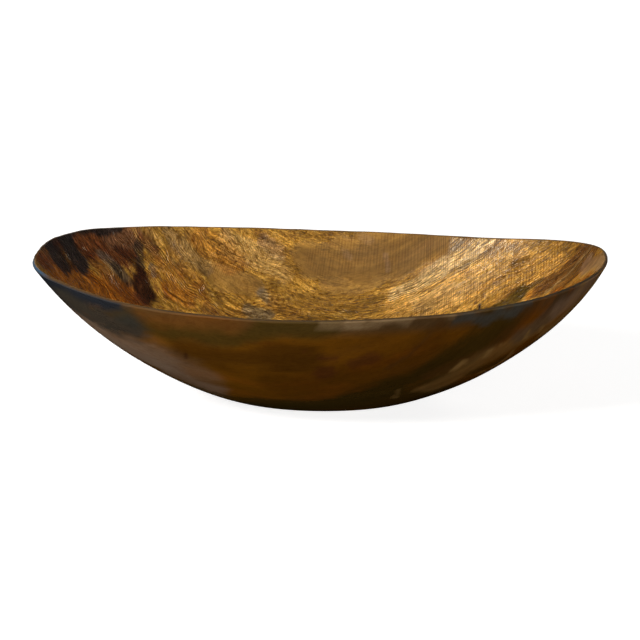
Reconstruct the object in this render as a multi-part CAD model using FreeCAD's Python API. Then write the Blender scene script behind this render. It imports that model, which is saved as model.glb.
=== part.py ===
import FreeCAD, Part
import math
import os

# An oval, boat-like bowl pressed and scraped out of one sheet of horn.
# Millimetres. X runs along the bowl, Y across it and Z up.
# The origin is on the table, under the middle of the bowl.
# Angles go round the bowl anticlockwise from its +X end.

Vector = FreeCAD.Vector

# Plan outline of the rim
HALF_LENGTH = 149.7        # middle of the bowl to the rim at an end
HALF_WIDTH = 89.8          # middle of the bowl to the rim at a side
END_BLUNTNESS = 0.095      # how far the ends depart from an ellipse
SIDE_BLUNTNESS = 0.115     # how far the sides depart from an ellipse

# Height of the rim above the table
RIM_HEIGHT = 73.5          # mean of the whole rim
SHEER = 5.1                # both ends rise and both sides dip by this
END_TILT = 0.5             # the +X end rises and the -X end dips by this
SHOULDER_RISE = 1.2        # three-lobed unevenness of a hand-cut rim
TWIST = 1.1                # the -X +Y and +X -Y quarters rise and the other two dip by this
FLATTENING = 1.25          # takes the point off the high ends

# Local waves along the cut rim: (angle in degrees, rise in mm, reach in degrees)
RIM_WAVES = [(280.0, 1.3, 17.0), (243.0, -0.6, 12.0), (64.0, -1.0, 14.0)]

# Section of the hull, from the flattened foot out to the rim
FOOT_SHARE = 0.22          # size of the flat foot as a share of the rim outline
ROUNDNESS = 1.2            # small gives straight flanks, large gives a round bottom
BELLY = 0.07               # fullness of the flanks halfway up
BELLY_LEAN = 0.02          # the +X flank is fuller than the -X flank

# Wall
FLOOR_WALL = 3.0           # thickness over the foot
RIM_WALL = 2.0             # thickness at the rim

# How finely the surfaces are described
POINTS_ROUND = 72          # points on each ring
HULL_RINGS = 11            # rings from the foot to the rim
LIP_RINGS = 7              # rings over the rounded lip
SEW_TOLERANCE = 0.001      # mm
ANGLE_STEP = 0.001         # radians, for the direction round the wall


def ring_angles():
    """Even angles round the bowl."""
    return [2.0 * math.pi * i / POINTS_ROUND for i in range(POINTS_ROUND)]


def rim_plan(angle):
    """X and Y of the rim: an ellipse with blunter ends and flatter sides."""
    x = math.cos(angle) - END_BLUNTNESS * math.cos(3.0 * angle)
    y = math.sin(angle) - SIDE_BLUNTNESS * math.sin(3.0 * angle)
    return HALF_LENGTH * x / (1.0 - END_BLUNTNESS), HALF_WIDTH * y / (1.0 + SIDE_BLUNTNESS)


def rim_height(angle):
    """Height of the rim, which sweeps up to both ends and waves a little."""
    height = RIM_HEIGHT + SHEER * math.cos(2.0 * angle)
    height += END_TILT * math.cos(angle) + SHOULDER_RISE * math.cos(3.0 * angle)
    height -= TWIST * math.sin(2.0 * angle) + FLATTENING * math.cos(4.0 * angle)
    for centre, rise, reach in RIM_WAVES:
        away = math.degrees(angle) - centre
        away = (away + 180.0) % 360.0 - 180.0
        height += rise * math.exp(-(away / reach) ** 2)
    return height


def outer_point(climb, angle):
    """A point on the outside; climb is 0 at the foot's edge and 1 at the rim."""
    x, y = rim_plan(angle)
    belly = BELLY + BELLY_LEAN * math.cos(angle)
    share = FOOT_SHARE + (1.0 - FOOT_SHARE) * climb + 4.0 * belly * climb ** 2 * (1.0 - climb)
    rise = (1.0 + ROUNDNESS) * climb ** 2 / (climb + ROUNDNESS)
    return Vector(share * x, share * y, rise * rim_height(angle))


def up_the_wall(climb, angle):
    """Direction of the wall from the foot to the rim."""
    x, y = rim_plan(angle)
    belly = BELLY + BELLY_LEAN * math.cos(angle)
    share = (1.0 - FOOT_SHARE) + 4.0 * belly * (2.0 * climb - 3.0 * climb ** 2)
    rise = (1.0 + ROUNDNESS) * climb * (climb + 2.0 * ROUNDNESS) / (climb + ROUNDNESS) ** 2
    return Vector(share * x, share * y, rise * rim_height(angle)).normalize()


def round_the_wall(climb, angle):
    """Direction of the wall round the bowl."""
    ahead = outer_point(climb, angle + ANGLE_STEP)
    behind = outer_point(climb, angle - ANGLE_STEP)
    return (ahead - behind).normalize()


def outward(climb, angle):
    """Direction square to the wall, pointing out of the bowl."""
    return round_the_wall(climb, angle).cross(up_the_wall(climb, angle)).normalize()


def inner_point(climb, angle):
    """The point on the inside, one wall thickness in from the outside."""
    wall = FLOOR_WALL + (RIM_WALL - FLOOR_WALL) * climb
    return outer_point(climb, angle) - outward(climb, angle) * wall


def lip_point(turn, angle):
    """A point on the rounded lip; turn is 0 outside and pi inside."""
    middle = (outer_point(1.0, angle) + inner_point(1.0, angle)) * 0.5
    out = outward(1.0, angle) * math.cos(turn)
    up = up_the_wall(1.0, angle) * math.sin(turn)
    return middle + (out + up) * (RIM_WALL / 2.0)


def ring(points):
    """A closed smooth curve through points, in even steps round the bowl."""
    marks = [i / POINTS_ROUND for i in range(POINTS_ROUND + 1)]
    curve = Part.BSplineCurve()
    curve.interpolate(Points=points, PeriodicFlag=True, Parameters=marks)
    return Part.Wire([curve.toShape()])


def skin(point_at, stations):
    """A smooth skin over one ring for each station."""
    rings = [ring([point_at(station, angle) for angle in ring_angles()]) for station in stations]
    return Part.makeLoft(rings, False, False)


def flat_cap(point_at):
    """The flat oval inside the lowest ring of a skin."""
    return Part.Face(ring([point_at(0.0, angle) for angle in ring_angles()]))


def bowl():
    """The bowl: outside, lip and inside skins, closed by the foot and the floor."""
    climbs = [i / (HULL_RINGS - 1) for i in range(HULL_RINGS)]
    turns = [math.pi * i / (LIP_RINGS - 1) for i in range(LIP_RINGS)]
    outside = skin(outer_point, climbs)
    lip = skin(lip_point, turns)
    inside = skin(inner_point, climbs)
    foot = flat_cap(outer_point)
    floor = flat_cap(inner_point)
    faces = outside.Faces + lip.Faces + inside.Faces + [foot, floor]
    shell = Part.makeShell(faces)
    shell.sewShape(SEW_TOLERANCE)
    shells = shell.Shells
    if len(shells) != 1:
        raise ValueError("the skins did not join into one shell")
    solid = Part.Solid(shells[0])
    if solid.Volume < 0:
        solid.reverse()
    if not solid.isValid() or not solid.isClosed():
        raise ValueError("the bowl is not a closed solid")
    return solid


os.makedirs("parts", exist_ok=True)
bowl().exportStep("parts/bowl.step")
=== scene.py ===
import math

import bpy
import numpy as np
from mathutils import Matrix, Vector


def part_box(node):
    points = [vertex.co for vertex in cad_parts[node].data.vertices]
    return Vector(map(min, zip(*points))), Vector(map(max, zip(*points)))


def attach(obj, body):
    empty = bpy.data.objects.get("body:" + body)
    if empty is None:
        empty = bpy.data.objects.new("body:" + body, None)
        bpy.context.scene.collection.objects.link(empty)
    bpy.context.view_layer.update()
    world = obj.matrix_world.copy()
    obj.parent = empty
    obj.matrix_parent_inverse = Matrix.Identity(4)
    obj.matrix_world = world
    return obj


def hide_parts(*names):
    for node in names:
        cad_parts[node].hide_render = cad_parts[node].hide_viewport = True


# An oval bowl pressed and scraped out of one sheet of horn.
# Lengths are in millimetres in the sums and in metres in the scene.
# X runs along the bowl, Y across it and Z up; angles go round anticlockwise from the +X end.
# "Sheet" places are where a point of the bowl lies on the flat sheet before pressing.

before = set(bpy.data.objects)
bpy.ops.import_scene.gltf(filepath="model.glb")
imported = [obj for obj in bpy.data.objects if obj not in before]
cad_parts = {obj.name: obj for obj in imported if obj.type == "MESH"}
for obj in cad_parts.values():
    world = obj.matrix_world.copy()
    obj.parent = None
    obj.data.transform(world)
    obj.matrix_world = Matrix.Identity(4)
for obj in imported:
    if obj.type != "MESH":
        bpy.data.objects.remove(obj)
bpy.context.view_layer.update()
low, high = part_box("bowl")

MM = 0.001

# Rim outline, as the CAD bowl has it
OUTLINE_SHARE = 0.4995     # middle of the bowl to the rim, as a share of the CAD box's length or width
HALF_LENGTH = OUTLINE_SHARE * (high.x - low.x) / MM
HALF_WIDTH = OUTLINE_SHARE * (high.y - low.y) / MM
END_BLUNTNESS = 0.095      # how far the ends depart from an ellipse
SIDE_BLUNTNESS = 0.115     # how far the sides depart from an ellipse

# Height of the rim above the table, as the CAD bowl has it
RIM_HEIGHT = 73.5          # mean of the whole rim
SHEER = 5.1                # both ends rise and both sides dip by this
END_TILT = 0.5             # the +X end rises and the -X end dips by this
SHOULDER_RISE = 1.2        # three-lobed unevenness of a hand-cut rim
TWIST = 1.1                # the -X +Y and +X -Y quarters rise and the other two dip by this
FLATTENING = 1.25          # takes the point off the high ends

# Local waves along the rim: angle in degrees, rise in mm, reach in degrees
RIM_WAVES = [(280.0, 1.3, 17.0), (243.0, -0.6, 12.0), (64.0, -1.0, 14.0)]

# Section of the hull and the wall, as the CAD bowl has them
FOOT_SHARE = 0.22          # size of the flat foot as a share of the rim outline
ROUNDNESS = 1.2            # small gives straight flanks, large gives a round bottom
BELLY = 0.07               # fullness of the flanks halfway up
BELLY_LEAN = 0.02          # the +X flank is fuller than the -X flank
FLOOR_WALL = 3.0           # thickness over the foot
RIM_WALL = 2.0             # thickness at the rim
ANGLE_STEP = 0.001         # radians, for the direction round the wall

# Small irregularities of the cut lip, which the CAD bowl leaves out
LIP_LIFTS = [(222.0, 1.1, 20.0), (250.0, 0.4, 14.0)]           # degrees, rise in mm, reach in degrees
LIP_CUT = [(0.25, 1.0 / 6.4, 1.0), (0.18, 1.0 / 22.0, 1.0)]    # rise in mm, length in radians, any width

# Mesh
CELLS_ALONG = 312          # quads over the length of the inside
CELLS_ACROSS = 216         # quads over its width
LIP_STRIPS = 8             # strips over the rounded lip
FLAT_SHARE = 0.20          # part of the grid that lies on the flat foot
OUTER_REACH = 0.9972       # how far out the outside's grid reaches; the lip closes the rest
SIDE_SPAN = 40.0           # the grain's third value: 0 on the outside, this on the inside

# Where things fade, as shares of the way from the middle of the grid to the rim
RELIEF_FADE = 0.06         # the inside's relief fades over this last share
WAVE_FROM = (0.15, 0.5)    # the sheet's slow wave starts and is full
LIP_FROM = (0.9, 1.0)      # the lip's irregularities start and are full

# Each kind of unevenness draws its noise from its own seed
GRAIN_SEED = 11
CURL_SEED = 13
LONG_WAVE_SEED = 21
SHORT_WAVE_SEED = 22
FACET_SEED = 31
RIDGE_SEED = 32
FIBRE_SEED = 34
FURROW_SEED = 37
COMB_SEED = 38
LIP_SEED = 41
SMOOTH_SEED = 61
HATCHED_SEED = 63
COARSE_SEED = 65
LINED_SEED = 67


# -------------------- noise

# Whole numbers that mix a place and a seed into a value that looks random
MIX_COLUMN = 374761393
MIX_ROW = 668265263
MIX_SEED = 974711
MIX_LAST = 1274126177
KEPT_BITS = 0xFFFFFFFF
VALUE_BITS = 0xFFFF

LAYER_SHIFT = (17.3, -9.1)    # how far each finer layer of noise is moved
LAYER_FADE = 0.55             # strength of each finer layer against the one before


def lattice(column, row, seed):
    """A repeatable value from -1 to 1 for each whole-number place."""
    mixed = column.astype(np.int64) * MIX_COLUMN + row.astype(np.int64) * MIX_ROW + seed * MIX_SEED
    mixed = mixed & KEPT_BITS
    mixed = ((mixed ^ (mixed >> 13)) * MIX_LAST) & KEPT_BITS
    mixed = mixed ^ (mixed >> 16)
    return (mixed & VALUE_BITS) / (VALUE_BITS / 2.0) - 1.0


def noise(u, v, seed):
    """Smooth noise from -1 to 1 with features one unit across."""
    column = np.floor(u)
    row = np.floor(v)
    across = u - column
    up = v - row
    across = across * across * (3.0 - 2.0 * across)
    up = up * up * (3.0 - 2.0 * up)
    bottom = lattice(column, row, seed) * (1.0 - across) + lattice(column + 1, row, seed) * across
    top = lattice(column, row + 1, seed) * (1.0 - across) + lattice(column + 1, row + 1, seed) * across
    return bottom * (1.0 - up) + top * up


def layered(x, y, size, seed, layers=3):
    """Noise with finer and fainter layers added; size is the length and width of its widest features."""
    u = x / size[0]
    v = y / size[1]
    total = np.zeros_like(u)
    strength = 1.0
    for layer in range(layers):
        finer = 2.0 ** layer
        layer_u = u * finer + LAYER_SHIFT[0] * layer
        layer_v = v * finer + LAYER_SHIFT[1] * layer
        total += strength * noise(layer_u, layer_v, seed + layer)
        strength *= LAYER_FADE
    return total


def uneven(x, y, sizes, seed):
    """Noise of several sizes added up; each size is a strength, a length and a width."""
    total = np.zeros_like(x)
    for number, (strength, length, width) in enumerate(sizes):
        total += strength * noise(x / length, y / width, seed + number)
    return total


def ease(value, start, end):
    """0 before start, 1 after end and a smooth step between."""
    step = np.clip((value - start) / (end - start), 0.0, 1.0)
    return step * step * (3.0 - 2.0 * step)


# -------------------- form

def unit(vectors):
    return vectors / np.linalg.norm(vectors, axis=-1, keepdims=True)


def degrees_from(angle, centre):
    """Degrees from a centre round the bowl, from -180 to 180."""
    return (np.degrees(angle) - centre + 180.0) % 360.0 - 180.0


def rim_plan(angle):
    x = np.cos(angle) - END_BLUNTNESS * np.cos(3.0 * angle)
    y = np.sin(angle) - SIDE_BLUNTNESS * np.sin(3.0 * angle)
    return HALF_LENGTH * x / (1.0 - END_BLUNTNESS), HALF_WIDTH * y / (1.0 + SIDE_BLUNTNESS)


def rim_bumps(angle, bumps):
    """Height that local waves or lifts of the rim add up to."""
    height = np.zeros_like(angle)
    for centre, rise, reach in bumps:
        height += rise * np.exp(-(degrees_from(angle, centre) / reach) ** 2)
    return height


def rim_height(angle):
    height = RIM_HEIGHT + SHEER * np.cos(2.0 * angle)
    height += END_TILT * np.cos(angle) + SHOULDER_RISE * np.cos(3.0 * angle)
    height -= TWIST * np.sin(2.0 * angle) + FLATTENING * np.cos(4.0 * angle)
    return height + rim_bumps(angle, RIM_WAVES)


def outer_point(climb, angle):
    """A point on the outside; climb is 0 at the foot's edge and 1 at the rim."""
    x, y = rim_plan(angle)
    belly = BELLY + BELLY_LEAN * np.cos(angle)
    share = FOOT_SHARE + (1.0 - FOOT_SHARE) * climb + 4.0 * belly * climb ** 2 * (1.0 - climb)
    rise = (1.0 + ROUNDNESS) * climb ** 2 / (climb + ROUNDNESS)
    return np.stack([share * x, share * y, rise * rim_height(angle)], -1)


def up_the_wall(climb, angle):
    x, y = rim_plan(angle)
    belly = BELLY + BELLY_LEAN * np.cos(angle)
    share = (1.0 - FOOT_SHARE) + 4.0 * belly * (2.0 * climb - 3.0 * climb ** 2)
    rise = (1.0 + ROUNDNESS) * climb * (climb + 2.0 * ROUNDNESS) / (climb + ROUNDNESS) ** 2
    return unit(np.stack([share * x, share * y, rise * rim_height(angle)], -1))


def outward(climb, angle):
    """Direction square to the wall, pointing out of the bowl."""
    ahead = outer_point(climb, angle + ANGLE_STEP)
    behind = outer_point(climb, angle - ANGLE_STEP)
    return unit(np.cross(unit(ahead - behind), up_the_wall(climb, angle)))


def inner_point(climb, angle):
    wall = FLOOR_WALL + (RIM_WALL - FLOOR_WALL) * climb
    return outer_point(climb, angle) - outward(climb, angle) * wall[..., None]


def lip_point(turn, angle):
    """A point on the rounded lip; turn is 0 outside and pi inside."""
    rim = np.ones_like(angle)
    middle = (outer_point(rim, angle) + inner_point(rim, angle)) * 0.5
    out = outward(rim, angle) * math.cos(turn)
    up = up_the_wall(rim, angle) * math.sin(turn)
    return middle + (out + up) * (RIM_WALL / 2.0)


def skin_points(point_at, ring, angle):
    """Points of one skin for places on a disc: ring is 0 in the middle and 1 at the rim."""
    climb = np.clip((ring - FLAT_SHARE) / (1.0 - FLAT_SHARE), 0.0, 1.0)
    points = point_at(climb, angle)
    shrink = np.clip(ring / FLAT_SHARE, 0.0, 1.0)
    points[..., :2] *= shrink[..., None]
    return points, climb


def disc_places(across_x, across_y):
    """Ring and angle for an even grid of places, so that no cell is pinched in the middle."""
    columns = np.linspace(-1.0, 1.0, across_x + 1)
    rows = np.linspace(-1.0, 1.0, across_y + 1)
    x, y = np.meshgrid(columns, rows, indexing="ij")
    wide = np.abs(x) >= np.abs(y)
    ring = np.maximum(np.abs(x), np.abs(y))
    safe_x = np.where(wide & (ring > 0), x, 1.0)
    safe_y = np.where(~wide, y, 1.0)
    side = (math.pi / 4.0) * y / safe_x + np.where(x < 0, math.pi, 0.0)
    end = math.pi / 2.0 - (math.pi / 4.0) * x / safe_y + np.where(y < 0, math.pi, 0.0)
    return ring.ravel(), np.where(wide, side, end).ravel() % (2.0 * math.pi)


def border(across_x, across_y):
    """Numbers of the grid's border places, anticlockwise from the corner at -45 degrees."""
    place = np.arange((across_x + 1) * (across_y + 1)).reshape(across_x + 1, across_y + 1)
    right = place[-1, :-1]
    top = place[:0:-1, -1]
    left = place[0, :0:-1]
    bottom = place[:-1, 0]
    return np.concatenate([right, top, left, bottom])


def grid_faces(across_x, across_y, first, flip):
    place = np.arange((across_x + 1) * (across_y + 1)).reshape(across_x + 1, across_y + 1) + first
    corners = [place[:-1, :-1], place[1:, :-1], place[1:, 1:], place[:-1, 1:]]
    if flip:
        corners.reverse()
    return np.stack([corner.ravel() for corner in corners], -1)


NEAR_MIDDLE = 5.0          # mm from the middle within which the sheet and the plan agree


def on_sheet(points):
    """Where points lie on the flat sheet: same direction in plan, straight distance from the foot."""
    plan = np.linalg.norm(points[:, :2], axis=1)
    stretch = np.linalg.norm(points, axis=1) / np.maximum(plan, NEAR_MIDDLE)
    stretch = np.where(plan < NEAR_MIDDLE, 1.0, stretch)
    return points[:, 0] * stretch, points[:, 1] * stretch


# -------------------- grain of the horn

OUTSIDE_SLOPE = 0.16       # fall of the outside's grain over the sheet, at its middle
GRAIN_FAN = 0.0009         # how much steeper that fall gets towards both ends, per mm
INSIDE_SLOPE = 0.225       # fall of the inside's grain at the left end
INSIDE_BENDS = [(-0.42, -20.0, 60.0), (0.35, 95.0, 125.0)]   # change of slope, and where it starts and ends
WANDER = [(6.0, 70.0, 55.0), (2.6, 26.0, 20.0)]    # slow wandering: strength, length and width in mm
CURLS = [(2.6, 13.0, 10.0), (1.1, 6.0, 5.0)]       # tighter curls at the left end, in the same way
CURLS_FROM = (20.0, 90.0)  # how far to the left of the middle the curls start and are full


def ramp(value, start, end):
    """The area under ease: level before start and a straight climb after end."""
    step = (value - start) / (end - start)
    bend = np.clip(step, 0.0, 1.0)
    return (end - start) * (bend ** 3 - 0.5 * bend ** 4 + np.maximum(step - 1.0, 0.0))


def grain_of(x, y, inside=True):
    """Distance along and across the grain, which bends, wanders and curls a little."""
    wander = uneven(x, y, WANDER, GRAIN_SEED) + ease(-x, *CURLS_FROM) * uneven(x, y, CURLS, CURL_SEED)
    along = x - (OUTSIDE_SLOPE + GRAIN_FAN * np.abs(x)) * y
    if not inside:
        return along, y + OUTSIDE_SLOPE * x + GRAIN_FAN * x * np.abs(x) + wander
    fall = INSIDE_SLOPE * x
    for change, start, end in INSIDE_BENDS:
        fall = fall + change * ramp(x, start, end)
    return along, y + fall + wander


def near_path(x, y, places):
    """Distance from each point to a path of straight pieces."""
    near = np.full(x.shape, np.inf)
    for (x0, y0), (x1, y1) in zip(places[:-1], places[1:]):
        length = math.hypot(x1 - x0, y1 - y0)
        along = np.clip(((x - x0) * (x1 - x0) + (y - y0) * (y1 - y0)) / length ** 2, 0.0, 1.0)
        near = np.minimum(near, np.hypot(x - x0 - along * (x1 - x0), y - y0 - along * (y1 - y0)))
    return near


# Zones of the inside: strength, half width, then the places the zone runs through on the sheet.
# Where the scraper left the horn smooth
SMOOTH_ZONES = [
    (0.85, 12.0, [(-10, 95), (22, 94), (50, 95), (75, 97)]),
    (0.55, 7.0, [(0, 85), (28, 85), (44, 88)]),
    (0.6, 6.0, [(-66, 74), (-44, 77)]),
    (0.6, 6.0, [(156, 18), (166, -10)]),
]

# Where its teeth chattered finely
HATCHED_ZONES = [
    (0.16, 12.0, [(-34, 97), (0, 98), (40, 98), (66, 94)]),
    (1.0, 9.0, [(74, 90), (96, 80), (112, 66)]),
    (0.9, 6.0, [(58, 59), (74, 62), (92, 60)]),
    (0.7, 8.0, [(-70, 80), (-52, 92), (-40, 100)]),
    (0.8, 14.0, [(-90, -60), (-40, -74), (30, -84)]),
    (0.7, 16.0, [(-60, 20), (10, 10), (70, -10)]),
]

# Where they chattered coarsely
COARSE_ZONES = [
    (1.0, 10.0, [(98, 64), (118, 57), (136, 50)]),
    (0.6, 11.0, [(2, 97), (30, 98), (64, 94)]),
    (0.8, 12.0, [(-60, -90), (0, -100), (60, -92)]),
]

# Where curling lines are cut along the grain
LINED_ZONES = [
    (0.9, 15.0, [(-160, 20), (-132, 52), (-104, 66)]),
    (0.8, 11.0, [(-106, 52), (-70, 60), (-38, 66)]),
    (0.5, 10.0, [(-100, 84), (-70, 92), (-52, 86)]),
    (1.0, 7.0, [(38, 72), (66, 76), (92, 80), (106, 84)]),
    (0.6, 9.0, [(112, 60), (136, 46), (164, 34)]),
    (0.6, 8.0, [(-30, 66), (10, 64), (50, 62)]),
    (0.6, 60.0, [(-110, -30), (0, -50), (110, -30)]),
]

# Middles of the two groups of long combed ridges
COMBED_PATHS = [
    [(-102, 53), (-93, 50), (-83, 49), (-70, 52)],
    [(-67, 64), (-58, 60), (-48, 59), (-37, 61)],
]

ZONE_RAGGED = 0.35         # unevenness of a zone's edge, as a share of its half width
ZONE_RAGGED_SIZE = (12.0, 9.0)
ZONE_EDGE = (0.6, 1.35)    # shares of the half width where a zone starts and finishes fading
COMB_ENDS = 9.0            # mm over which the combed ridges fade at either end
COMB_EDGE = (4.0, 8.0)     # mm from their middle where they start and finish fading
COMB_SWAY = [(0.7, 9.0, 7.0)]


def combed(x, y):
    """Strength of the combed ridges and the distance across them."""
    strength = np.zeros_like(x)
    offset = np.zeros_like(x)
    for places in COMBED_PATHS:
        start = places[0][0]
        end = places[-1][0]
        away = y - np.interp(x, [place[0] for place in places], [place[1] for place in places])
        ends = ease(x, start, start + COMB_ENDS) * ease(end - x, 0.0, COMB_ENDS)
        inside = ends * (1.0 - ease(np.abs(away), *COMB_EDGE))
        strength += inside
        offset += np.where(inside > 0.0, away, 0.0)
    return strength, offset + uneven(x, y, COMB_SWAY, COMB_SEED)


def zone_strength(x, y, zones, seed):
    """How strongly a list of zones covers each point."""
    total = np.zeros_like(x)
    ragged = ZONE_RAGGED * layered(x, y, ZONE_RAGGED_SIZE, seed, 2)
    for strength, half_width, places in zones:
        cover = strength * (1.0 - ease(near_path(x, y, places) / half_width + ragged, *ZONE_EDGE))
        total = np.maximum(total, cover)
    return total


# -------------------- relief

# Furrows cut into the inside: depth, half width, then the places it runs through
FURROWS = [
    (0.50, 1.3, [(-101, 51), (-92, 49), (-84, 49), (-77, 53)]),
    (0.45, 1.2, [(-100, 47), (-90, 45), (-80, 46), (-72, 50)]),
    (0.35, 1.1, [(-96, 55), (-86, 54), (-78, 58)]),
    (0.55, 1.4, [(-72, 63), (-62, 61), (-52, 60), (-40, 57)]),
    (0.50, 1.2, [(-68, 67), (-58, 65), (-48, 64), (-38, 66)]),
    (0.40, 1.2, [(-60, 57), (-48, 56), (-36, 59)]),
    (0.40, 1.1, [(-34, 69), (-26, 66), (-18, 62)]),
    (0.35, 1.1, [(8, 68), (16, 71), (26, 73)]),
    (0.12, 1.6, [(110, 46), (126, 43), (150, 43)]),
    (0.70, 0.9, [(94, 53), (93, 49)]),
    (0.60, 0.9, [(90.5, 51), (90, 48)]),
    (0.40, 1.3, [(-60, -40), (-20, -52), (10, -50)]),
    (0.40, 1.3, [(40, -30), (70, -44), (100, -46)]),
]

FURROW_SWAY = [(1.2, 9.0, 9.0)]    # how furrows waver: strength, length and width in mm

# Slow unevenness of the pressed sheet, in the same way
LONG_WAVE = [(0.55, 62.0, 48.0)]
SHORT_WAVE = [(0.22, 27.0, 24.0)]
LONG_WAVE_SHIFT = 186.0    # mm that the long wave is moved along the bowl

# Scraper facets, the ridges between strokes and lifted fibres; sizes are along and across the grain
FACETS = [(0.14, 34.0, 11.0)]
RIDGE_SIZE = (26.0, 5.0)
RIDGE_LEVEL = 0.7          # height within a ridge that lies level with the sheet
RIDGE_HEIGHT = 0.08        # mm, over the whole inside
CURLY_HEIGHT = 0.14        # mm more at the left end
CURLY_FROM = (-10.0, 80.0) # how far to the left of the middle that starts and is full
FIBRE_SIZE = (11.0, 2.6)
FIBRE_HEIGHT = 0.09
SMOOTHED = 0.8             # share of ridges, fibres and mottle that is gone in the smooth zones
LINED_LEAST = 0.2          # strength of the cut lines outside their own zones


def furrowed(x, y):
    """Depth of the furrows at each point."""
    sway = uneven(x, y, FURROW_SWAY, FURROW_SEED)
    depth = np.zeros_like(x)
    for cut, half_width, places in FURROWS:
        depth += cut * np.exp(-(near_path(x + sway, y + sway, places) / half_width) ** 2)
    return depth


def sheet_wave(x, y):
    """Slow unevenness of the pressed sheet, the same on both sides of the wall."""
    long_wave = uneven(x + LONG_WAVE_SHIFT, y, LONG_WAVE, LONG_WAVE_SEED)
    return long_wave + uneven(x, y, SHORT_WAVE, SHORT_WAVE_SEED)


def scraped_relief(x, y):
    """Height of scraper facets and lifted fibres on the inside, less the furrows."""
    along, across = grain_of(x, y)
    facets = uneven(along, across, FACETS, FACET_SEED)
    ridges = 1.0 - np.abs(layered(along, across, RIDGE_SIZE, RIDGE_SEED, 2))
    ridge_height = RIDGE_HEIGHT + CURLY_HEIGHT * ease(-x, *CURLY_FROM)
    fibres = FIBRE_HEIGHT * layered(along, across, FIBRE_SIZE, FIBRE_SEED, 2)
    rough = 1.0 - SMOOTHED * zone_strength(x, y, SMOOTH_ZONES, SMOOTH_SEED)
    return facets + rough * (ridge_height * (ridges - RIDGE_LEVEL) + fibres) - furrowed(x, y)


# -------------------- colour

# Horn colours, as linear red, green and blue
OCHRE = (0.50, 0.265, 0.046)
GOLD = (0.61, 0.325, 0.072)
HORN = (0.25, 0.092, 0.005)
AMBER = (0.36, 0.108, 0.008)
RUST = (0.130, 0.036, 0.014)
MAROON = (0.038, 0.011, 0.005)
CHARCOAL = (0.024, 0.018, 0.018)
BROWN = (0.155, 0.064, 0.014)
OLIVE = (0.085, 0.050, 0.008)
SHADE = (0.262, 0.130, 0.022)
UMBER = (0.095, 0.036, 0.004)
DUSK = (0.052, 0.050, 0.040)
ASH = (0.42, 0.27, 0.17)
SLATE = (0.105, 0.108, 0.094)
MAUVE = (0.30, 0.185, 0.110)
NAVY = (0.026, 0.030, 0.038)
CREAM = (0.66, 0.45, 0.20)
HONEY = (0.84, 0.49, 0.13)
TAN = (0.52, 0.30, 0.095)
# Painted reflection: pale grey for the sheen band along the near rim
SHEEN_PALE = (0.40, 0.265, 0.130)
# Painted sheen: greyer colour for the band under the lip
RIM_SHEEN = (0.105, 0.072, 0.036)
LIP = (0.055, 0.034, 0.016)

# Colours of the lip: colour, middle and reach in degrees round the rim; the bluish one at 204 degrees is a
# painted reflection of cool light on the left end of the lip
LIP_TINTS_AND_GLINT = [
    ((0.20, 0.125, 0.060), 90.0, 78.0),
    ((0.085, 0.040, 0.014), 222.0, 24.0),
    # Painted reflection: a bluish glint on the lip at the left end
    ((0.030, 0.090, 0.170), 204.0, 14.0),
    ((0.020, 0.020, 0.018), 312.0, 16.0),
    ((0.09, 0.058, 0.040), 345.0, 14.0),
]
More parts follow.
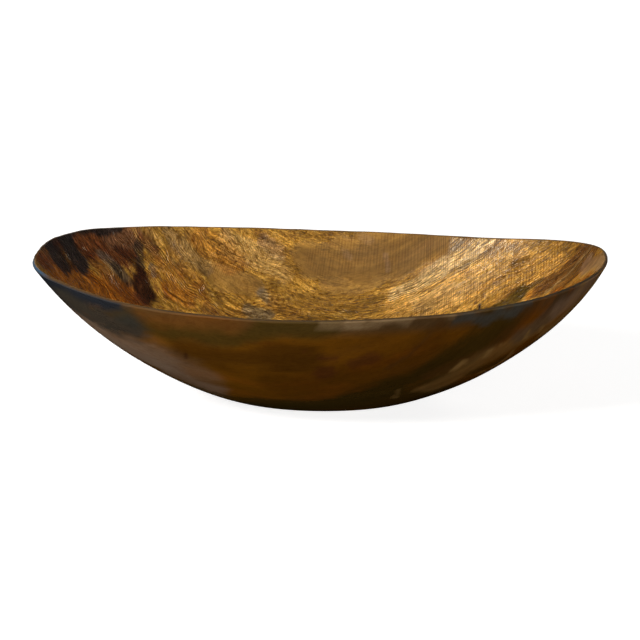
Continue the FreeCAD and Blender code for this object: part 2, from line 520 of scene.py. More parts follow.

# Stains of the inside, with painted shade and a painted highlight among them: colour, strength, half width,
# then the places it runs through on the sheet
INSIDE_STAINS_AND_PAINTED_LIGHT = [
    (RUST, 0.92, 14.0, [(-156, 42), (-128, 64)]),
    (AMBER, 0.85, 11.0, [(-158, 0), (-140, 22), (-112, 36)]),
    (RUST, 0.75, 8.0, [(-165, 22), (-164, -6)]),
    (RUST, 0.5, 6.0, [(-138, 42), (-112, 40)]),
    (MAUVE, 0.25, 6.0, [(-134, 62), (-112, 74)]),
    (SHADE, 0.75, 6.0, [(-112, 84), (-88, 80), (-68, 73), (-44, 77)]),
    (RUST, 0.55, 4.0, [(-116, 72), (-106, 70)]),
    (CHARCOAL, 0.98, 9.0, [(-168, 36), (-158, 36), (-146, 32)]),
    (CHARCOAL, 0.98, 7.0, [(-168, 30), (-158, 40)]),
    (CHARCOAL, 0.97, 8.2, [(-172, 25), (-163, 23), (-156, 18)]),
    (MAROON, 0.75, 3.6, [(-166, 29), (-157, 27), (-149, 24)]),
    (CHARCOAL, 0.95, 4.4, [(-169, 10), (-164, 36), (-152, 53), (-132, 71)]),
    (MAROON, 0.85, 2.6, [(-129, 59), (-116, 58)]),
    (CHARCOAL, 0.80, 3.8, [(-117, 66), (-112, 55)]),
    (SLATE, 0.50, 3.4, [(-134, 50), (-120, 47)]),
    (CHARCOAL, 0.75, 3.2, [(-127, 49), (-116, 46)]),
    (MAROON, 0.97, 6.2, [(-112, 53), (-104, 45)]),
    (RUST, 0.45, 5.0, [(-100, 76), (-90, 70)]),
    (RUST, 0.60, 3.0, [(-108, 41), (-101, 40)]),
    (SLATE, 0.65, 2.6, [(-106, 62), (-102, 60)]),
    (RUST, 0.60, 2.4, [(-93, 89), (-90, 88)]),
    (RUST, 0.60, 2.2, [(-95, 73), (-91, 72)]),
    (RUST, 0.65, 2.0, [(-53, 85), (-50, 85)]),
    (BROWN, 0.70, 2.6, [(-47, 105), (-42, 104)]),
    (MAUVE, 0.55, 5.0, [(-42, 101), (-30, 98)]),
    (CREAM, 0.30, 8.0, [(-66, 94), (-42, 91), (-26, 89)]),
    (SLATE, 0.60, 3.6, [(-40, 74), (-35, 71)]),
    (SLATE, 0.60, 4.6, [(-45, 63), (-36, 62)]),
    (BROWN, 0.75, 4.2, [(-34, 70), (-17, 65)]),
    (AMBER, 0.60, 5.0, [(-92, 58), (-82, 56)]),
    (GOLD, 0.30, 12.0, [(-96, 82), (-60, 84)]),
    (AMBER, 0.30, 7.0, [(-100, 66), (-76, 64)]),
    (AMBER, 0.35, 8.0, [(-84, 92), (-60, 85)]),
    (SLATE, 0.32, 4.2, [(-106, 84), (-93, 82), (-82, 79), (-73, 75)]),
    (SHADE, 0.60, 8.0, [(-30, 72), (0, 68), (34, 68)]),
    (SHADE, 0.70, 5.5, [(-14, 75), (10, 75), (40, 72)]),
    (RUST, 0.55, 5.0, [(-70, 56), (-60, 53)]),
    # Painted shade: these three strokes darken the smooth tongue on the far wall, as if that scraped facet
    # were turned away from the light
    (SHADE, 0.92, 10.5, [(-18, 95), (18, 93), (52, 93), (84, 98)]),
    (SHADE, 0.65, 3.6, [(58, 88), (74, 88), (86, 90)]),
    (SHADE, 0.60, 6.0, [(-4, 84), (30, 83), (52, 86)]),
    (OLIVE, 0.40, 4.0, [(-8, 65), (16, 66)]),
    (MAUVE, 0.30, 2.4, [(13, 100), (16, 97)]),
    (MAUVE, 0.35, 2.0, [(38, 96), (39, 89)]),
    (MAUVE, 0.25, 2.6, [(26, 105), (32, 103)]),
    (GOLD, 0.80, 15.0, [(50, 68), (104, 68), (140, 54)]),
    # Partly painted highlight: a cream streak along the key light's highlight band, over the horn's own
    # paler fibres
    (CREAM, 0.75, 5.0, [(46, 74), (72, 79), (94, 83), (112, 88)]),
    (CREAM, 0.30, 6.0, [(58, 66), (92, 66)]),
    (BROWN, 0.45, 3.0, [(104, 80), (126, 70)]),
    (SHADE, 0.80, 8.0, [(136, 66), (154, 46)]),
    (HONEY, 0.80, 6.0, [(96, 74), (113, 68)]),
    (BROWN, 0.60, 2.4, [(117, 63), (124, 61)]),
    (OLIVE, 0.92, 4.0, [(92, 47), (108, 43), (117, 44)]),
    (OLIVE, 0.75, 2.0, [(114, 45), (130, 43)]),
    (AMBER, 0.60, 3.0, [(122, 39), (136, 37)]),
    (CHARCOAL, 0.97, 1.0, [(94.5, 53), (92.5, 48)]),
    (CHARCOAL, 0.95, 0.9, [(90.5, 50.5), (89.5, 48)]),
    (BROWN, 0.95, 6.0, [(129, 38), (146, 35), (168, 32)]),
    (CREAM, 0.25, 1.2, [(132, 33), (168, 30)]),
    (BROWN, 0.90, 5.2, [(137, 27), (150, 24), (168, 22)]),
    (UMBER, 0.55, 3.0, [(140, 24), (168, 19)]),
    (AMBER, 0.85, 8.0, [(134, 20), (150, 2), (156, -20)]),
    (MAUVE, 0.60, 5.5, [(158, 20), (166, 0), (164, -14)]),
    (BROWN, 0.40, 5.0, [(156, 22), (164, 8)]),
    (OLIVE, 0.60, 12.0, [(-58, -34), (0, -47), (48, -62), (108, -80)]),
    (RUST, 0.50, 9.0, [(-150, -40), (-96, -70)]),
    (BROWN, 0.50, 10.0, [(-90, 10), (-20, 0), (60, -20)]),
    (AMBER, 0.50, 14.0, [(-60, -80), (30, -92)]),
]

# Stains of the outside, in the same way, with a painted reflection along the near rim among them
OUTSIDE_STAINS_AND_SHEEN = [
    (MAUVE, 0.75, 19.0, [(-156, -20), (-116, -44), (-86, -54)]),
    (MAUVE, 0.50, 14.0, [(-92, -54), (-66, -56)]),
    (ASH, 0.80, 13.0, [(-128, -34), (-104, -43), (-84, -45)]),
    (ASH, 0.60, 11.0, [(-84, -43), (-58, -42)]),
    (AMBER, 0.60, 10.0, [(-92, -84), (-52, -100)]),
    (UMBER, 0.75, 11.0, [(-72, -74), (-54, -82), (-36, -86), (-4, -90)]),
    (UMBER, 0.40, 14.0, [(-20, -70), (40, -76), (70, -84)]),
    (OLIVE, 0.85, 17.0, [(-70, -14), (-20, -34), (30, -44), (60, -30)]),
    (OLIVE, 0.92, 13.0, [(-30, -36), (12, -48), (46, -60), (80, -68), (104, -78)]),
    (BROWN, 0.75, 10.0, [(-104, -84), (-70, -92), (-40, -106)]),
    (OLIVE, 0.85, 6.5, [(-118, -74), (-82, -82), (-50, -96), (-20, -108), (14, -113)]),
    (DUSK, 0.90, 13.0, [(-150, -40), (-122, -60), (-102, -74)]),
    (NAVY, 0.97, 5.5, [(-166, -28), (-146, -57), (-122, -76), (-112, -82)]),
    (RUST, 0.55, 3.6, [(3, -79), (11, -81)]),
    (RUST, 0.55, 3.0, [(5, -89), (14, -90)]),
    (RUST, 0.55, 4.4, [(24, -87), (35, -90)]),
    (RUST, 0.50, 1.5, [(-6, -93), (-2, -92)]),
    (MAROON, 0.60, 1.3, [(-72, -70), (-71, -67)]),
    (BROWN, 0.65, 2.0, [(42, -81), (60, -88), (76, -94)]),
    (BROWN, 0.55, 5.0, [(62, -60), (96, -66), (130, -76)]),
    (TAN, 0.45, 9.0, [(60, -44), (88, -58), (116, -57), (152, -46)]),
    (SLATE, 0.45, 7.0, [(112, -60), (150, -54)]),
    (ASH, 0.55, 8.0, [(136, -56), (158, -40)]),
    (OLIVE, 0.55, 4.0, [(84, -44), (99, -43)]),
    (TAN, 0.80, 2.2, [(77, -60), (81, -63)]),
    (TAN, 0.80, 2.8, [(90, -57), (94, -62)]),
    (TAN, 0.75, 2.0, [(100, -61), (104, -58)]),
    (TAN, 0.80, 2.0, [(114, -53), (118, -57)]),
    (TAN, 0.75, 1.6, [(124, -46), (125, -52)]),
    (TAN, 0.60, 2.0, [(84, -38), (104, -40), (105, -45)]),
    (TAN, 0.40, 1.4, [(42, -44), (45, -52)]),
    (TAN, 0.70, 9.0, [(130, -36), (164, -30)]),
    (SLATE, 0.75, 3.0, [(84, -93), (122, -76)]),
    # Painted reflection: the pale sheen band just under the near rim
    (SHEEN_PALE, 0.45, 2.6, [(2, -114), (30, -113)]),
    (SHEEN_PALE, 0.65, 2.6, [(22, -113), (60, -106), (84, -97)]),
    (MAUVE, 0.60, 15.0, [(150, 20), (104, 50), (60, 66)]),
    (OLIVE, 0.75, 12.0, [(-110, 44), (-40, 40), (20, 56), (84, 92)]),
    (RUST, 0.55, 8.0, [(-150, 40), (-96, 84)]),
    (OLIVE, 0.60, 7.0, [(-60, 84), (0, 108), (40, 112)]),
    (SLATE, 0.60, 7.0, [(158, 0), (140, 56)]),
]

# Manner in which each side is stained: how far stains wander, how torn their edges are, how blurred
# they are, and the seed that the side's noise starts from
INSIDE_MANNER = (1.0, 0.24, 1.0, 100)
OUTSIDE_MANNER = (1.4, 0.28, 2.6, 200)

# Sizes of the colour's unevenness, in mm along and across the grain
BAND_SIZE = (70.0, 11.0)
MOTTLE_SIZE = (7.0, 2.3)
STREAK_SIZE = (16.0, 1.6)
TORN_SIZE = (9.0, 1.8)

# How stains wander over the sheet: strength, length and width in mm
STAIN_SHIFT_X = [(3.0, 24.0, 18.0), (1.2, 8.0, 6.0)]
STAIN_SHIFT_Y = [(2.4, 24.0, 18.0), (1.0, 8.0, 6.0)]

# Edge of a stain: where it starts and finishes fading, as shares of its half width, and its softness
STAIN_EDGE = (0.85, 1.05)
STAIN_SOFTNESS = 0.7

# Strengths of the colour's unevenness
AMBER_BANDS = 0.55
BROWN_BANDS = 0.35
RUST_MOTTLE = 0.75
CREAM_MOTTLE = 0.35
CALM_MOTTLE = 0.35         # share of the mottle that is left at the right end
MOTTLE_FROM = (40.0, 100.0)    # how far to the left of the middle the mottle starts to grow and is full
PLAIN_STREAKS = 0.12
WORN_STREAKS = 0.24        # added to these where the inside is scraped

# Greyer band of painted sheen under the lip: how far up the wall it starts and is full, and its strength
RIM_SHEEN_FROM = (0.90, 0.97)
RIM_SHEEN_STRENGTH = 0.75

# Over the lip, from 0 outside to 1 inside: where the sides' colours meet, and where its own tint and the
# painted reflection lie
SIDES_MEET = (0.35, 0.75)
LIP_TINT_FROM = (0.15, 0.4)
LIP_TINT_UNTIL = (0.95, 0.6)
LIP_TINT_EDGE = (0.6, 1.2)
LIP_TINT_STRENGTH = 0.9

# Seeds of one side, counted from the one in its manner
SHIFT_Y_SEED = 2
BAND_SEED = 4
MOTTLE_SEED = 6
STREAK_SEED = 7
FIRST_STAIN_SEED = 10


def blurred(size, blur):
    return size[0] * blur, size[1] * blur


def covered(near, half_width, along, across, seed, tear, blur):
    """How far a stain covers each point: 1 on its middle line and 0 away from it, with torn edges."""
    torn = layered(along, across, blurred(TORN_SIZE, blur), seed)
    soft = STAIN_SOFTNESS * tear * blur
    return 1.0 - ease(near / half_width + tear * torn, STAIN_EDGE[0] - soft, STAIN_EDGE[1] + 0.3 * soft)


def mixed(colours, colour, amount):
    return colours + (np.array(colour) - colours) * amount[:, None]


def painted(x, y, grain, ground, stains_and_light, manner, worn):
    """Colour of the horn at each point of one side of the sheet, with the painted shade, highlight and
    sheen that the stain lists hold.
    """
    wander, tear, blur, seed = manner
    along, across = grain
    bands = layered(along, across, BAND_SIZE, seed + BAND_SEED)
    colours = mixed(ground, AMBER, AMBER_BANDS * ease(bands, 0.25, 1.2))
    colours = mixed(colours, BROWN, BROWN_BANDS * ease(-bands, 0.35, 1.3))
    mottle = layered(along, across, MOTTLE_SIZE, seed + MOTTLE_SEED)
    busy = worn * (CALM_MOTTLE + (1.0 - CALM_MOTTLE) * ease(-x, *MOTTLE_FROM))
    colours = mixed(colours, RUST, RUST_MOTTLE * busy * ease(mottle, 0.15, 0.95))
    colours = mixed(colours, CREAM, CREAM_MOTTLE * busy * ease(-mottle, 0.35, 1.1))
    stain_x = x + wander * uneven(x, y, STAIN_SHIFT_X, seed)
    stain_y = y + wander * uneven(x, y, STAIN_SHIFT_Y, seed + SHIFT_Y_SEED)
    for number, (colour, strength, half_width, places) in enumerate(stains_and_light):
        near = near_path(stain_x, stain_y, places)
        cover = covered(near, half_width, along, across, seed + FIRST_STAIN_SEED + number, tear, blur)
        colours = mixed(colours, colour, strength * cover)
    streaks = layered(along, across, blurred(STREAK_SIZE, blur), seed + STREAK_SEED)
    return colours * (1.0 + (WORN_STREAKS * worn + PLAIN_STREAKS) * streaks)[:, None]


# -------------------- mesh

def relieved(points, climb, angle, side, ring):
    """Points moved by the relief, and where they lay on the sheet before that."""
    x, y = on_sheet(points)
    relief = scraped_relief(x, y) * side * ease(1.0 - ring, 0.0, RELIEF_FADE)
    moved = sheet_wave(x, y) * ease(ring, *WAVE_FROM) - relief
    points = points + outward(climb, angle) * moved[:, None]
    cut = uneven(angle, np.zeros_like(angle), LIP_CUT, LIP_SEED) * np.sin(angle / 2.0) ** 2
    cut += rim_bumps(angle, LIP_LIFTS)
    points = points + up_the_wall(climb, angle) * (cut * ease(ring, *LIP_FROM))[:, None]
    return points, x, y


def lip_strips(rings):
    """Faces between rings of points, from the outer ring to the inner one."""
    strips = []
    for outer, inner in zip(rings[:-1], rings[1:]):
        strips.append(np.stack([outer, np.roll(outer, -1), np.roll(inner, -1), inner], -1))
    return strips


def lip_fans(lip_ring, coarse_ring):
    """Triangles that join the lip's first ring to the outside's border, which has half as many points."""
    fine = lip_ring.reshape(-1, 2)
    start = fine[:, 0]
    middle = fine[:, 1]
    end = np.roll(start, -1)
    after = np.roll(coarse_ring, -1)
    triangles = ((coarse_ring, middle, start), (coarse_ring, after, middle), (after, end, middle))
    return [np.stack(corners, -1) for corners in triangles]


def make_bowl():
    """Points and faces of the inside, the rounded lip and the coarser outside, in this order."""
    ring_in, angle_in = disc_places(CELLS_ALONG, CELLS_ACROSS)
    inside, climb_in = skin_points(inner_point, ring_in, angle_in)
    edge_in = border(CELLS_ALONG, CELLS_ACROSS)
    ring_out, angle_out = disc_places(CELLS_ALONG // 2, CELLS_ACROSS // 2)
    outside, climb_out = skin_points(outer_point, OUTER_REACH * ring_out, angle_out)
    rim_angle = angle_in[edge_in]
    around = rim_angle.size
    turns = [math.pi * strip / LIP_STRIPS for strip in range(LIP_STRIPS)]
    lips = [lip_point(turn, rim_angle) for turn in turns]
    points = np.concatenate([inside] + lips + [outside])
    angle = np.concatenate([angle_in] + [rim_angle] * LIP_STRIPS + [angle_out])
    climb = np.concatenate([climb_in, np.ones(around * LIP_STRIPS), climb_out])
    lip_side = np.repeat([turn / math.pi for turn in turns], around)
    side = np.concatenate([np.ones(ring_in.size), lip_side, np.zeros(ring_out.size)])
    ring = np.concatenate([ring_in, np.ones(around * LIP_STRIPS), ring_out])
    points, x, y = relieved(points, climb, angle, side, ring)

    lip_first = ring_in.size
    out_first = lip_first + around * LIP_STRIPS
    rings = [lip_first + strip * around + np.arange(around) for strip in range(LIP_STRIPS)] + [edge_in]
    edge_out = border(CELLS_ALONG // 2, CELLS_ACROSS // 2) + out_first
    inside_faces = grid_faces(CELLS_ALONG, CELLS_ACROSS, 0, False)
    outside_faces = grid_faces(CELLS_ALONG // 2, CELLS_ACROSS // 2, out_first, True)
    faces = [inside_faces] + lip_strips(rings) + [outside_faces] + lip_fans(rings[0], edge_out)
    return points, faces, x, y, side, climb, angle


def horn_colours(x, y, side, climb, angle, calm):
    """Colour of both sides of the horn, with a paler band of painted sheen under the lip and the lip's
    tints, one of which is a painted reflection.
    """
    inner_ground = np.tile(np.array(OCHRE), (x.size, 1))
    outer_ground = np.tile(np.array(HORN), (x.size, 1))
    # Painted sheen: the outside turns greyer towards the lip
    outer_ground = mixed(outer_ground, RIM_SHEEN, RIM_SHEEN_STRENGTH * ease(climb, *RIM_SHEEN_FROM))
    worn = 1.0 - SMOOTHED * calm
    inner = painted(x, y, grain_of(x, y), inner_ground, INSIDE_STAINS_AND_PAINTED_LIGHT, INSIDE_MANNER, worn)
    unworn = np.zeros_like(x)
    outer = painted(x, y, grain_of(x, y, False), outer_ground, OUTSIDE_STAINS_AND_SHEEN, OUTSIDE_MANNER, unworn)
    colours = outer + (inner - outer) * ease(side, *SIDES_MEET)[:, None]
    # Lip colours, with the painted reflection of cool light at the left end
    lip_colours_and_glint = np.tile(np.array(LIP), (x.size, 1))
    for colour, centre, reach in LIP_TINTS_AND_GLINT:
        away = np.abs(degrees_from(angle, centre))
        lip_colours_and_glint = mixed(lip_colours_and_glint, colour, 1.0 - ease(away / reach, *LIP_TINT_EDGE))
    lip = ease(side, *LIP_TINT_FROM) * ease(side, *LIP_TINT_UNTIL)
    return colours + (lip_colours_and_glint - colours) * (LIP_TINT_STRENGTH * lip)[:, None]


def bowl_mesh():
    points, faces, x, y, side, climb, angle = make_bowl()
    calm = zone_strength(x, y, SMOOTH_ZONES, SMOOTH_SEED)
    colours = horn_colours(x, y, side, climb, angle, calm)
    inner_grain = grain_of(x, y)
    outer_grain = grain_of(x, y, False)
    along = np.where(side > 0.5, inner_grain[0], outer_grain[0])
    across = np.where(side > 0.5, inner_grain[1], outer_grain[1])
    hatch = zone_strength(x, y, HATCHED_ZONES, HATCHED_SEED)
    coarse = zone_strength(x, y, COARSE_ZONES, COARSE_SEED)
    lined = LINED_LEAST + (1.0 - LINED_LEAST) * zone_strength(x, y, LINED_ZONES, LINED_SEED)
    vectors = {
        "grain": np.stack([along, across, SIDE_SPAN * side], -1),
        "finish": np.stack([lined, hatch, 1.0 - calm], -1),
        "marks": np.stack([coarse, *combed(x, y)], -1),
    }

    mesh = bpy.data.meshes.new("horn bowl")
    mesh.from_pydata((points * MM).tolist(), [], [face for group in faces for face in group.tolist()])
    mesh.polygons.foreach_set("use_smooth", np.ones(len(mesh.polygons), bool))
    tint = mesh.attributes.new("tint", "FLOAT_COLOR", "POINT")
    opaque = np.concatenate([colours, np.ones((x.size, 1))], 1)
    tint.data.foreach_set("color", opaque.astype(np.float32).ravel())
    for name, values in vectors.items():
        attribute = mesh.attributes.new(name, "FLOAT_VECTOR", "POINT")
        attribute.data.foreach_set("vector", values.astype(np.float32).ravel())
    mesh.validate()
    mesh.update()
    return mesh


# -------------------- material

# Patterns of noise: scale along the grain, across it and from side to side, then detail and distortion
LUMPS = ((0.10, 0.36, 1.0), 2.0, 0.6)
FIBRES = ((0.16, 0.95, 1.0), 3.0, 1.2)
HAIRS = ((0.34, 2.1, 1.0), 2.0, 1.0)
SPECKS = ((0.42, 0.62, 1.0), 3.0, 0.8)
FLECKS = ((0.30, 0.85, 1.0), 3.0, 1.6)
CUT_PATCHES = ((0.09, 0.20, 1.0), 2.0, 0.0)
CHATTER_PATCHES = ((0.5, 0.12, 1.0), 2.0, 0.0)
GLOSS_PATCHES = ((0.05, 0.10, 1.0), 2.0, 0.0)

# Wavering bands: scale, pitch in mm, the direction they lie square to, how much they waver and curl
CUT_LINES = ((0.5, 1.0, 1.0), 1.35, "Y", 18.0, 0.5)
COMB_LINES = ((0.0, 0.0, 1.0), 3.8, "Z", 1.2, 0.35)
FINE_CHATTER = ((1.0, 0.02, 1.0), 1.3, "X", 2.4, 0.35)
COARSE_CHATTER = ((1.0, 0.02, 1.0), 1.9, "X", 2.4, 0.35)

# What each pattern does to the horn's colour, as factors of red, green and blue; the groove and crest
# factors are partly painted shade and painted highlight
DARK_FIBRE = (0.42, 0.36, 0.24)
LIGHT_HAIR = (1.65, 1.65, 1.45)
DARK_SPECK = (0.46, 0.37, 0.24)
LIGHT_FLECK = (1.5, 1.6, 1.7)
# Partly painted: grooves darker as painted shade and crests paler as painted highlight, over the cut lines'
# own darker and paler colour
GROOVE_TINT_AND_SHADE = (0.42, 0.35, 0.24)
CREST_TINT_AND_HIGHLIGHT = (1.5, 1.5, 1.4)
CHATTER_TINT = (0.46, 0.37, 0.26)
CUT_TINTING = 0.8          # strength of the groove and crest tints
CHATTER_TINTING = 0.75

# On the grain's third value, which runs from 0 outside to SIDE_SPAN inside
INSIDE_FROM = (20.0, 36.0)
LIP_EDGE_OUTSIDE = (0.2, 2.0)
LIP_EDGE_INSIDE = (39.5, 34.0)

# Roughness
POLISHED = (0.15, 0.24)    # from patch to patch of the polished horn
SMOOTH_ROUGHNESS = 0.50    # added in the smooth zones of the inside
FIBRE_ROUGHNESS = 0.15     # added on the dark fibres
LIP_ROUGHNESS = 0.85       # added on the cut lip
HORN_IOR = 1.54
HORN_SPECULAR = (1.0, 0.90, 0.70, 1.0)

# Heights of the fine relief as shares of its depth; a pair is for the smooth and the scraped horn
BUMP_DEPTH = 0.7 * MM
LUMP_RELIEF = (0.05, 0.5)
FIBRE_RELIEF = (0.03, 0.32)
HAIR_RELIEF = (0.02, 0.07)
CHATTER_RELIEF = 0.07
GROOVE_RELIEF = 0.20
CREST_RELIEF = 0.10


class Nodes:
    """Short calls for building a node tree."""

    def __init__(self, material):
        self.tree = material.node_tree

    def add(self, kind, **settings):
        node = self.tree.nodes.new(kind)
        for name, value in settings.items():
            setattr(node, name, value)
        return node

    def feed(self, value, socket):
        if isinstance(value, bpy.types.NodeSocket):
            self.tree.links.new(value, socket)
        else:
            socket.default_value = value

    def attribute(self, name, output="Vector"):
        return self.add("ShaderNodeAttribute", attribute_name=name).outputs[output]

    def maths(self, operation, first, second, clamp=False):
        node = self.add("ShaderNodeMath", operation=operation, use_clamp=clamp)
        self.feed(first, node.inputs[0])
        self.feed(second, node.inputs[1])
        return node.outputs[0]

    def times(self, first, second):
        return self.maths("MULTIPLY", first, second)

    def plus(self, first, second):
        return self.maths("ADD", first, second)

    def part(self, vector, axis):
        node = self.add("ShaderNodeSeparateXYZ")
        self.feed(vector, node.inputs[0])
        return node.outputs[axis]

    def scaled(self, vector, scale):
        node = self.add("ShaderNodeVectorMath", operation="MULTIPLY")
        self.feed(vector, node.inputs[0])
        self.feed(scale, node.inputs[1])
        return node.outputs[0]

    def noise(self, vector, scale, detail, distortion):
        node = self.add("ShaderNodeTexNoise")
        self.feed(self.scaled(vector, scale), node.inputs["Vector"])
        node.inputs["Scale"].default_value = 1.0
        node.inputs["Detail"].default_value = detail
        node.inputs["Distortion"].default_value = distortion
        return node.outputs["Fac"]

    def ripple(self, vector, scale, pitch, direction, waver, curl):
        """Wavering bands square to one direction, one for each pitch in millimetres."""
        node = self.add("ShaderNodeTexWave", wave_type="BANDS", bands_direction=direction)
        self.feed(self.scaled(vector, scale), node.inputs["Vector"])
        node.inputs["Scale"].default_value = math.pi / (10.0 * pitch)
        node.inputs["Distortion"].default_value = waver
        node.inputs["Detail"].default_value = 2.0
        node.inputs["Detail Scale"].default_value = curl
        return node.outputs["Fac"]

    def stepped(self, value, start, end, low=0.0, high=1.0):
        """A smooth step from low at start to high at end; start may be the larger."""
        node = self.add("ShaderNodeMapRange", interpolation_type="SMOOTHSTEP")
        for socket, setting in zip(node.inputs, (value, start, end, low, high)):
            self.feed(setting, socket)
        return node.outputs[0]

    def tinted(self, amount, colour, factors):
        """The colour multiplied by three factors where the amount is 1."""
        node = self.add("ShaderNodeMix", data_type="RGBA", blend_type="MULTIPLY")
        self.feed(amount, node.inputs[0])
        self.feed(colour, node.inputs[6])
        self.feed((*factors, 1.0), node.inputs[7])
        return node.outputs[2]


def fibre_tints(nodes, colour, grain, scraped, dark_fibres, hairs):
    """The horn's colour with fine dark and light fibres along the grain."""
    light_hairs = nodes.stepped(hairs, 0.50, 0.60)
    specks = nodes.stepped(nodes.noise(grain, *SPECKS), 0.53, 0.66)
    flecks = nodes.stepped(nodes.noise(grain, *FLECKS), 0.53, 0.63)
    hair_share = nodes.stepped(scraped, 0.0, 1.0, 0.1, 0.9)
    speck_share = nodes.stepped(scraped, 0.0, 1.0, 0.1, 0.8)
    fleck_share = nodes.stepped(scraped, 0.0, 1.0, 0.0, 0.85)
    colour = nodes.tinted(dark_fibres, colour, DARK_FIBRE)
    colour = nodes.tinted(nodes.times(light_hairs, hair_share), colour, LIGHT_HAIR)
    colour = nodes.tinted(nodes.times(specks, speck_share), colour, DARK_SPECK)
    return nodes.tinted(nodes.times(flecks, fleck_share), colour, LIGHT_FLECK)


def cut_marks(nodes, grain, marks, scraped, lined, inside):
    """Grooves and crests of the curling cuts along the grain and of the two groups of combed ridges."""
    lines = nodes.ripple(grain, *CUT_LINES)
    patches = nodes.stepped(nodes.noise(grain, *CUT_PATCHES), 0.38, 0.58)
    line_share = nodes.times(patches, nodes.times(scraped, lined))
    comb = nodes.ripple(marks, *COMB_LINES)
    comb_share = nodes.times(nodes.part(marks, 1), inside)
    groove = nodes.times(nodes.stepped(lines, 0.42, 0.12), line_share)
    groove = nodes.maths("MAXIMUM", groove, nodes.times(nodes.stepped(comb, 0.45, 0.10), comb_share))
    crest = nodes.times(nodes.stepped(lines, 0.60, 0.90), line_share)
    crest = nodes.maths("MAXIMUM", crest, nodes.times(nodes.stepped(comb, 0.55, 0.90), comb_share))
    return groove, crest


def chatter_marks(nodes, grain, hatched, coarse):
    """Marks of the scraper's teeth across the grain, in a fine and a coarse run."""
    patches = nodes.stepped(nodes.noise(grain, *CHATTER_PATCHES), 0.32, 0.52)
    fine_run = nodes.times(nodes.ripple(grain, *FINE_CHATTER), nodes.times(patches, hatched))
    coarse_run = nodes.times(nodes.ripple(grain, *COARSE_CHATTER), nodes.times(patches, coarse))
    return nodes.maths("ADD", fine_run, coarse_run, clamp=True)


def horn_roughness(nodes, grain, scraped, inside, dark_fibres):
    """Polished outside; duller in the smooth zones inside, on dark fibres and on the cut lip."""
    side = nodes.part(grain, 2)
    lip = nodes.times(nodes.stepped(side, *LIP_EDGE_OUTSIDE), nodes.stepped(side, *LIP_EDGE_INSIDE))
    smooth = nodes.times(nodes.stepped(scraped, 0.9, 0.3), inside)
    rough = nodes.stepped(nodes.noise(grain, *GLOSS_PATCHES), 0.3, 0.7, *POLISHED)
    rough = nodes.plus(rough, nodes.times(smooth, SMOOTH_ROUGHNESS))
    rough = nodes.plus(rough, nodes.times(dark_fibres, FIBRE_ROUGHNESS))
    return nodes.plus(rough, nodes.times(lip, LIP_ROUGHNESS))


def fine_relief(nodes, grain, scraped, fibres, hairs, chatter, groove, crest):
    """Normal that the lumps, fibres, hairs and tool marks give to the surface."""
    height = nodes.times(nodes.noise(grain, *LUMPS), nodes.stepped(scraped, 0.0, 1.0, *LUMP_RELIEF))
    height = nodes.plus(height, nodes.times(fibres, nodes.stepped(scraped, 0.0, 1.0, *FIBRE_RELIEF)))
    height = nodes.plus(height, nodes.times(hairs, nodes.stepped(scraped, 0.0, 1.0, *HAIR_RELIEF)))
    height = nodes.maths("SUBTRACT", height, nodes.times(chatter, CHATTER_RELIEF))
    height = nodes.maths("SUBTRACT", height, nodes.times(groove, GROOVE_RELIEF))
    height = nodes.plus(height, nodes.times(crest, CREST_RELIEF))
    bump = nodes.add("ShaderNodeBump")
    bump.inputs["Strength"].default_value = 1.0
    bump.inputs["Distance"].default_value = BUMP_DEPTH
    nodes.feed(height, bump.inputs["Height"])
    return bump.outputs["Normal"]


def horn_material():
    material = bpy.data.materials.new("horn")
    material.use_nodes = True
    nodes = Nodes(material)
    shader = material.node_tree.nodes["Principled BSDF"]

    grain = nodes.attribute("grain")
    finish = nodes.attribute("finish")
    marks = nodes.attribute("marks")
    inside = nodes.stepped(nodes.part(grain, 2), *INSIDE_FROM)
    hatched = nodes.times(nodes.part(finish, 1), inside)
    scraped = nodes.times(nodes.part(finish, 2), inside)
    coarse = nodes.times(nodes.part(marks, 0), inside)
    fibres = nodes.noise(grain, *FIBRES)
    hairs = nodes.noise(grain, *HAIRS)
    fibre_share = nodes.stepped(scraped, 0.0, 1.0, 0.20, 0.85)
    dark_fibres = nodes.times(nodes.stepped(fibres, 0.51, 0.40), fibre_share)
    groove, crest = cut_marks(nodes, grain, marks, scraped, nodes.part(finish, 0), inside)
    chatter = chatter_marks(nodes, grain, hatched, coarse)

    tint = nodes.attribute("tint", "Color")
    colour = fibre_tints(nodes, tint, grain, scraped, dark_fibres, hairs)
    # Painted shade in the grooves and painted highlight on the crests, partly the cut lines' own colour
    colour = nodes.tinted(nodes.times(groove, CUT_TINTING), colour, GROOVE_TINT_AND_SHADE)
    colour = nodes.tinted(nodes.times(crest, CUT_TINTING), colour, CREST_TINT_AND_HIGHLIGHT)
    colour = nodes.tinted(nodes.times(chatter, CHATTER_TINTING), colour, CHATTER_TINT)
    nodes.feed(colour, shader.inputs["Base Color"])
    nodes.feed(horn_roughness(nodes, grain, scraped, inside, dark_fibres), shader.inputs["Roughness"])
    normal = fine_relief(nodes, grain, scraped, fibres, hairs, chatter, groove, crest)
    nodes.feed(normal, shader.inputs["Normal"])
    shader.inputs["IOR"].default_value = HORN_IOR
    shader.inputs["Specular Tint"].default_value = HORN_SPECULAR
    return material


# -------------------- floor, light and camera

TARGET = Vector((0.0, 0.0, 0.035))
CAMERA_RISE = math.radians(17.0)
CAMERA_SWING = math.radians(2.3)
CAMERA_DISTANCE = 1.2
CAMERA_LENS = 127.6
AIM_RISE = 7.4 * MM

# Floor: how far out and how high its profile runs, in metres
FLOOR_PROFILE = [(0.0, 0.0), (3.0, 0.0), (3.6, 0.15), (4.0, 0.55), (4.2, 1.2), (4.25, 7.0)]
FLOOR_TURNS = 64
FLOOR_COLOUR = (0.55, 0.55, 0.545, 1.0)
FLOOR_GLOW = 0.85
WHITE = (1.0, 1.0, 1.0, 1.0)

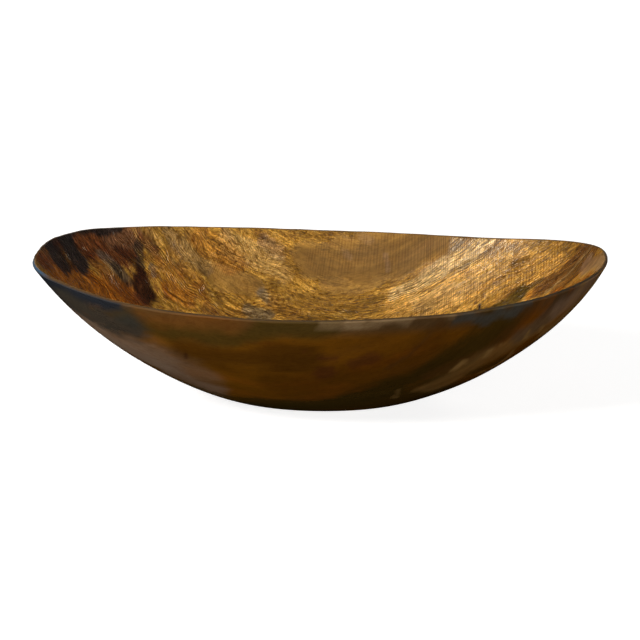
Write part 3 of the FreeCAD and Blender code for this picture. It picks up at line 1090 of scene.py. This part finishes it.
# Sky: its light, its strength, and how high above the horizon it starts and is full
SKY_LIGHT = (0.92, 0.95, 1.0, 1.0)
SKY_STRENGTH = 0.05
SKY_EDGE = (-0.05, 0.10)


def floor_material():
    material = bpy.data.materials.new("pale floor")
    material.use_nodes = True
    shader = material.node_tree.nodes["Principled BSDF"]
    shader.inputs["Base Color"].default_value = FLOOR_COLOUR
    shader.inputs["Roughness"].default_value = 0.9
    shader.inputs["Specular IOR Level"].default_value = 0.1
    shader.inputs["Emission Color"].default_value = WHITE
    shader.inputs["Emission Strength"].default_value = FLOOR_GLOW
    return material


def add_floor():
    """A round floor that curves up into a wall far behind; it isn't mirrored and lights nothing."""
    points = []
    for radius, height in FLOOR_PROFILE:
        for turn in range(FLOOR_TURNS):
            angle = 2.0 * math.pi * turn / FLOOR_TURNS
            points.append((radius * math.cos(angle), radius * math.sin(angle), height))
    faces = []
    for ring in range(len(FLOOR_PROFILE) - 1):
        first = ring * FLOOR_TURNS
        above = first + FLOOR_TURNS
        for turn in range(FLOOR_TURNS):
            after = (turn + 1) % FLOOR_TURNS
            faces.append((first + turn, above + turn, above + after, first + after))
    mesh = bpy.data.meshes.new("floor")
    mesh.from_pydata(points, [], faces)
    mesh.validate()
    mesh.polygons.foreach_set("use_smooth", np.ones(len(mesh.polygons), bool))
    mesh.materials.append(floor_material())
    floor = bpy.data.objects.new("floor", mesh)
    bpy.context.scene.collection.objects.link(floor)
    floor.visible_glossy = False
    floor.visible_diffuse = False
    floor.visible_shadow = False


def add_softbox(name, direction, distance, size, power, colour, long_side=(1.0, 0.0, 0.0), mirrored=True):
    """A rectangular light aimed at the bowl from one direction; mirrored shows it in the gloss."""
    light = bpy.data.lights.new(name, "AREA")
    light.shape = "RECTANGLE"
    light.size, light.size_y = size
    light.energy = power
    light.color = colour
    towards = Vector(direction).normalized()
    along = Vector(long_side)
    along = (along - towards * along.dot(towards)).normalized()
    holder = bpy.data.objects.new(name, light)
    holder.location = TARGET + towards * distance
    holder.rotation_euler = Matrix((along, towards.cross(along), towards)).transposed().to_euler()
    holder.visible_camera = False
    holder.visible_glossy = mirrored
    bpy.context.scene.collection.objects.link(holder)


def add_sky():
    """Faint soft light from above and none from below."""
    world = bpy.data.worlds.new("sky")
    bpy.context.scene.world = world
    world.use_nodes = True
    tree = world.node_tree
    place = tree.nodes.new("ShaderNodeTexCoord")
    split = tree.nodes.new("ShaderNodeSeparateXYZ")
    tree.links.new(place.outputs["Generated"], split.inputs[0])
    rise = tree.nodes.new("ShaderNodeMapRange")
    for socket, setting in zip(rise.inputs[1:], (*SKY_EDGE, 0.0, SKY_STRENGTH)):
        socket.default_value = setting
    tree.links.new(split.outputs["Z"], rise.inputs[0])
    background = tree.nodes["Background"]
    background.inputs["Color"].default_value = SKY_LIGHT
    tree.links.new(rise.outputs[0], background.inputs["Strength"])


def add_camera():
    lens = bpy.data.cameras.new("camera")
    lens.lens = CAMERA_LENS
    camera = bpy.data.objects.new("camera", lens)
    back = Vector((
        math.sin(CAMERA_SWING) * math.cos(CAMERA_RISE),
        -math.cos(CAMERA_SWING) * math.cos(CAMERA_RISE),
        math.sin(CAMERA_RISE),
    ))
    right = Vector((math.cos(CAMERA_SWING), math.sin(CAMERA_SWING), 0.0))
    up = back.cross(right)
    camera.location = TARGET + up * AIM_RISE + back * CAMERA_DISTANCE
    camera.rotation_euler = back.to_track_quat("Z", "Y").to_euler()
    bpy.context.scene.collection.objects.link(camera)
    bpy.context.scene.camera = camera


bowl = bpy.data.objects.new("horn_bowl", bowl_mesh())
bpy.context.scene.collection.objects.link(bowl)
bowl.data.materials.append(horn_material())
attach(bowl, "root")
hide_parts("bowl")

add_floor()
add_sky()
add_softbox("key", (-0.61, -0.53, 0.58), 1.1, (0.40, 0.26), 10.5, (1.0, 0.96, 0.90), (-0.44, -0.05, -0.34))
add_softbox("front fill", (0.1, -1.0, 0.30), 1.6, (1.2, 0.6), 5.0, (1.0, 0.95, 0.90), mirrored=False)
add_softbox("left strip", (-1.0, -0.30, -0.30), 0.8, (0.6, 0.07), 1.7, (0.86, 0.90, 1.0), mirrored=False,
            long_side=(0.45, -1.0, 0.0))
add_softbox("right strip", (1.0, -0.45, 0.02), 0.8, (0.6, 0.07), 0.8, (1.0, 0.84, 0.76), (0.45, 1.0, 0.0))
add_softbox("floor bounce", (0.0, -0.5, -1.0), 1.0, (1.2, 0.6), 0.22, (1.0, 0.95, 0.88), mirrored=False)
add_softbox("back fill", (0.25, 1.0, 0.34), 1.6, (1.2, 0.5), 9.5, (1.0, 0.96, 0.92), mirrored=False)
add_camera()
bpy.context.scene.view_settings.view_transform = "Standard"
